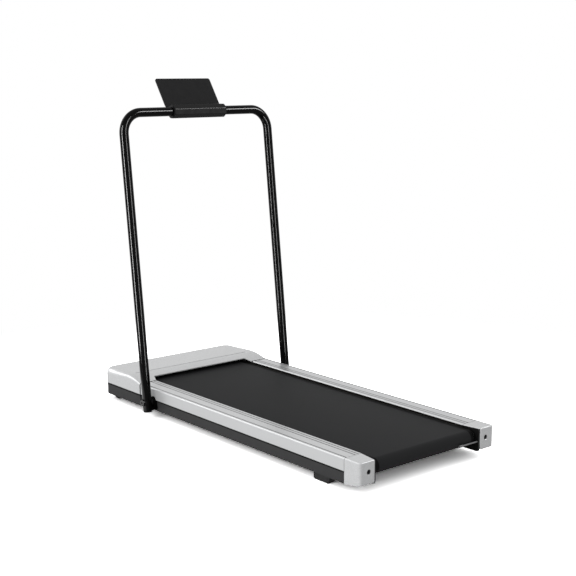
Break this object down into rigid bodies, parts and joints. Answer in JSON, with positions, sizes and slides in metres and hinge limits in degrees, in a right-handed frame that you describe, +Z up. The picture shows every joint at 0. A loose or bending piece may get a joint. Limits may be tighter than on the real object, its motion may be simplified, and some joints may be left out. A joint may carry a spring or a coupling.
{
  "type": "walking pad",
  "caption": "Low motorised walking pad: flat black belt between silver side rails, low motor hood in front and a folding U-shaped handle with a tilting tablet plate.",
  "frame": {"origin": "centre of the overall length and width, at floor level", "axes": "+Y along the deck towards the motor hood, the way a walker faces; +X to the walker's right; +Z up"},
  "size_m": [0.628, 1.286, 1.0899],
  "materials": {
    "aluminium_rail": "satin",
    "silver_cover": "satin silver",
    "dark_paint": "satin",
    "dark_plastic": "satin",
    "black_plastic": "satin",
    "black_paint": "gloss",
    "belt_rubber": "fine textured matt",
    "rubber": "matt",
    "board": "waxed black face",
    "steel": "satin",
    "cast_metal": "machined",
    "pulley_metal": "machined",
    "motor_paint": "satin",
    "circuit_board": "matt",
    "capacitor_sleeve": "gloss",
    "brass": "bright",
    "switch_plastic": "gloss",
    "button_plastic": "gloss"
  },
  "bodies": {
    "base": {"axle_blocks": "cast_metal", "belt_guide_pin": "steel", "bracket_screws": "steel", "breaker": "black_plastic", "capacitors": "capacitor_sleeve", "controller_board": "circuit_board", "deck_board": "board", "deck_crossbars": "dark_paint", "deck_cushions": "rubber", "deck_screws": "steel", "drive_belt": "rubber", "front_axle": "steel", "heat_sink": "pulley_metal", "inlet_pins": "brass", "left_frame_rail": "dark_paint", "left_hinge_bracket": "black_paint", "left_rear_bracket": "dark_plastic", "left_rear_cap": "silver_cover", "left_rear_foot": "rubber", "left_side_rail": "aluminium_rail", "motor_bracket": "dark_paint", "motor_can": "motor_paint", "motor_hood": "silver_cover", "motor_tray": "dark_plastic", "pivot_bolts": "black_paint", "power_inlet": "black_plastic", "right_frame_rail": "dark_paint", "right_hinge_bracket": "black_paint", "right_rear_bracket": "dark_plastic", "right_rear_cap": "silver_cover", "right_rear_foot": "rubber", "right_side_rail": "aluminium_rail", "switch_frame": "black_plastic", "underside_screws": "steel", "walking_belt": "belt_rubber", "wheel_axles": "steel", "wheel_forks": "black_plastic", "wiring": "rubber"},
    "handle": {"handlebar": "black_paint", "leg_plugs": "black_plastic", "pivot_saddles": "black_plastic"},
    "holder": {"holder_front": "black_plastic", "holder_back": "black_plastic", "holder_plate": "black_plastic", "holder_screws": "steel"},
    "front_roller_body": {"front_roller": "steel", "front_bearings": "steel", "roller_pulley": "pulley_metal"},
    "rear_axle_body": {"rear_axle": "steel"},
    "rear_roller_body": {"rear_roller": "steel", "rear_bearings": "steel"},
    "motor_rotor": {"motor_shaft": "steel", "motor_pulley": "pulley_metal", "flywheel": "cast_metal"},
    "left_wheel_body": {"left_wheel": "rubber"},
    "right_wheel_body": {"right_wheel": "rubber"},
    "switch_body": {"power_switch": "switch_plastic"},
    "button_body": {"reset_button": "button_plastic"},
    "left_bolt_body": {"left_tension_bolt": "steel"},
    "right_bolt_body": {"right_tension_bolt": "steel"}
  },
  "joints": [
    {"name": "handle_fold", "type": "hinge", "parent": "base", "child": "handle", "pos_m": [0, 0.333, 0.056], "axis": [1, 0, 0], "range_deg": [0, 93]},
    {"name": "holder_tilt", "type": "hinge", "parent": "handle", "child": "holder", "pos_m": [0, 0.43922, 0.98394], "axis": [1, 0, 0], "range_deg": [-50, 55]},
    {"name": "front_roller_spin", "type": "hinge", "parent": "base", "child": "front_roller_body", "pos_m": [0, 0.485, 0.0667], "axis": [1, 0, 0], "continuous": true},
    {"name": "motor_spin", "type": "hinge", "parent": "base", "child": "motor_rotor", "pos_m": [0, 0.567, 0.0667], "axis": [1, 0, 0], "continuous": true},
    {"name": "rear_axle_slide", "type": "slide", "parent": "base", "child": "rear_axle_body", "axis": [0, 1, 0], "range_m": [0, 0.006]},
    {"name": "rear_roller_spin", "type": "hinge", "parent": "rear_axle_body", "child": "rear_roller_body", "pos_m": [0, -0.6087, 0.0667], "axis": [1, 0, 0], "continuous": true},
    {"name": "left_tension_turn", "type": "hinge", "parent": "base", "child": "left_bolt_body", "pos_m": [-0.236, -0.6087, 0.0667], "axis": [0, 1, 0], "range_deg": [0, 1728]},
    {"name": "right_tension_turn", "type": "hinge", "parent": "base", "child": "right_bolt_body", "pos_m": [0.236, -0.6087, 0.0667], "axis": [0, 1, 0], "range_deg": [0, 1728]},
    {"name": "left_wheel_spin", "type": "hinge", "parent": "base", "child": "left_wheel_body", "pos_m": [-0.2325, 0.6, 0.025], "axis": [1, 0, 0], "continuous": true},
    {"name": "right_wheel_spin", "type": "hinge", "parent": "base", "child": "right_wheel_body", "pos_m": [0.2325, 0.6, 0.025], "axis": [1, 0, 0], "continuous": true},
    {"name": "power_switch_rock", "type": "hinge", "parent": "base", "child": "switch_body", "pos_m": [-0.07775, 0.638, 0.042], "axis": [1, 0, 0], "range_deg": [-16, 0]},
    {"name": "reset_press", "type": "slide", "parent": "base", "child": "button_body", "axis": [0, -1, 0], "range_m": [0, 0.002], "stiffness_N_per_m": 800}
  ],
  "couplings": [
    {"joint": "rear_roller_spin", "follows": "front_roller_spin", "ratio": 1},
    {"joint": "motor_spin", "follows": "front_roller_spin", "ratio": 2.1538},
    {"joint": "left_tension_turn", "follows": "rear_axle_slide", "rad_per_m": 5026.5},
    {"joint": "right_tension_turn", "follows": "rear_axle_slide", "rad_per_m": 5026.5}
  ]
}
